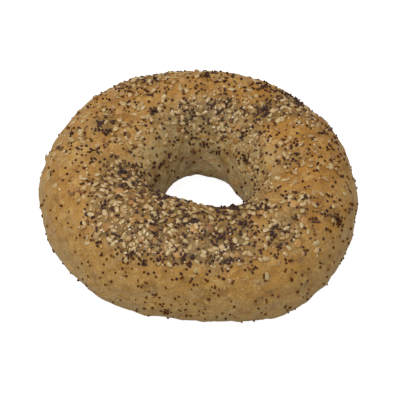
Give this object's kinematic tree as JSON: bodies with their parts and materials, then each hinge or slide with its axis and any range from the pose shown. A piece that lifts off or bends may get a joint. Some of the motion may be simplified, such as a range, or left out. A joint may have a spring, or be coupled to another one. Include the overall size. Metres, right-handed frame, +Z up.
{
  "type": "bagel",
  "caption": "Whole baked bread ring with a domed crown, a flat base and an uneven central hole, topped with seeds, onion flakes and garlic granules; stands on its flat base.",
  "frame": {"origin": "middle of the bounding box, on the surface that the flat base rests on", "axes": "+Z up through the hole, +X along the ring's longest way, +Y towards its back"},
  "size_m": [0.1176, 0.1092, 0.0404],
  "materials": {
    "crust": "matt baked crust, golden tan",
    "sesame": "satin cream hull",
    "poppy": "matt blue-black, slightly pitted",
    "onion": "matt toasted brown",
    "garlic": "matt pale cream"
  },
  "bodies": {
    "root": {"bread_ring": "crust", "sesame_seed_01": "sesame", "sesame_seed_02": "sesame", "sesame_seed_03": "sesame", "sesame_seed_04": "sesame", "sesame_seed_05": "sesame", "sesame_seed_06": "sesame", "sesame_seed_07": "sesame", "sesame_seed_08": "sesame", "sesame_seed_09": "sesame", "sesame_seed_10": "sesame", "sesame_seed_11": "sesame", "sesame_seed_12": "sesame", "sesame_seed_13": "sesame", "sesame_seed_14": "sesame", "sesame_seed_15": "sesame", "sesame_seed_16": "sesame", "sesame_seed_17": "sesame", "sesame_seed_18": "sesame", "sesame_seed_19": "sesame", "sesame_seed_20": "sesame", "sesame_seed_21": "sesame", "sesame_seed_22": "sesame", "sesame_seed_23": "sesame", "sesame_seed_24": "sesame", "sesame_seed_25": "sesame", "sesame_seed_26": "sesame", "poppy_seed_01": "poppy", "poppy_seed_02": "poppy", "poppy_seed_03": "poppy", "poppy_seed_04": "poppy", "poppy_seed_05": "poppy", "poppy_seed_06": "poppy", "poppy_seed_07": "poppy", "poppy_seed_08": "poppy", "poppy_seed_09": "poppy", "poppy_seed_10": "poppy", "poppy_seed_11": "poppy", "poppy_seed_12": "poppy", "poppy_seed_13": "poppy", "poppy_seed_14": "poppy", "poppy_seed_15": "poppy", "poppy_seed_16": "poppy", "poppy_seed_17": "poppy", "poppy_seed_18": "poppy", "poppy_seed_19": "poppy", "poppy_seed_20": "poppy", "onion_flake_01": "onion", "onion_flake_02": "onion", "onion_flake_03": "onion", "onion_flake_04": "onion", "onion_flake_05": "onion", "onion_flake_06": "onion", "garlic_granule_01": "garlic", "garlic_granule_02": "garlic", "garlic_granule_03": "garlic", "garlic_granule_04": "garlic", "garlic_granule_05": "garlic", "garlic_granule_06": "garlic", "garlic_granule_07": "garlic"}
  },
  "joints": []
}
